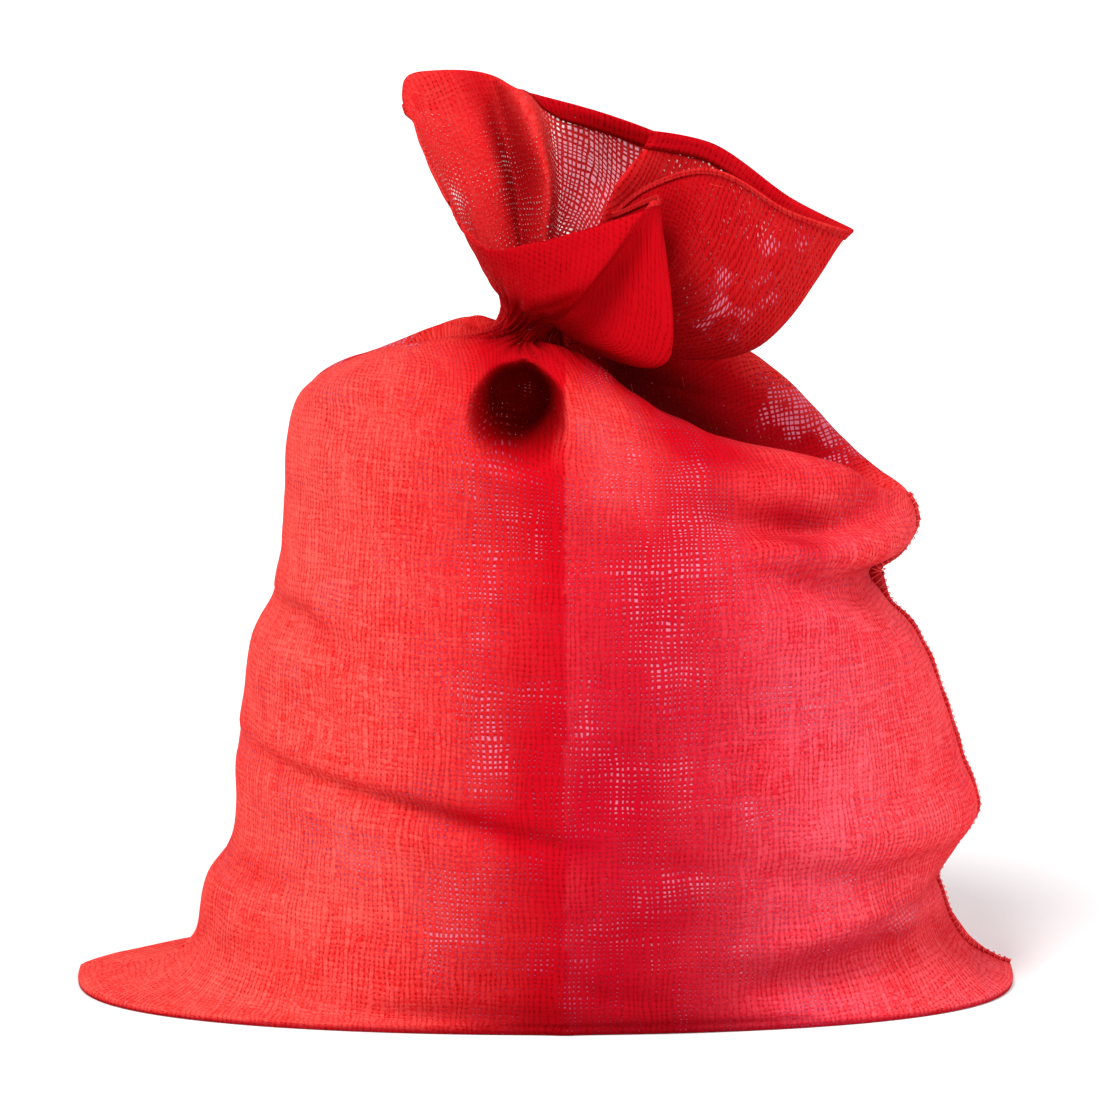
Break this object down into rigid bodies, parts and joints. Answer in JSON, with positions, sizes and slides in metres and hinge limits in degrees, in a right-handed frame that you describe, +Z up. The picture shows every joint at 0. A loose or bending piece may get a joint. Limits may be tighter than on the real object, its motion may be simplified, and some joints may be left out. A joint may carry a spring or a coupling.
{
  "type": "hessian sack",
  "caption": "Upright coarse cloth sack, filled out and wider at its base, gathered at the neck, with its loose mouth folded open above and fallen over to one side.",
  "frame": {"origin": "the middle of the sack's outline, at the level of the surface that it stands on", "axes": "+Z up; +X towards the sewn right side, so the sack's width, its longest extent, lies along X; -Y is the front, which the mouth faces"},
  "size_m": [0.4264, 0.2568, 0.4084],
  "materials": {
    "hessian": "matt, coarse open plain weave with uneven yarns"
  },
  "bodies": {
    "root": {"sack": "hessian"}
  },
  "joints": []
}
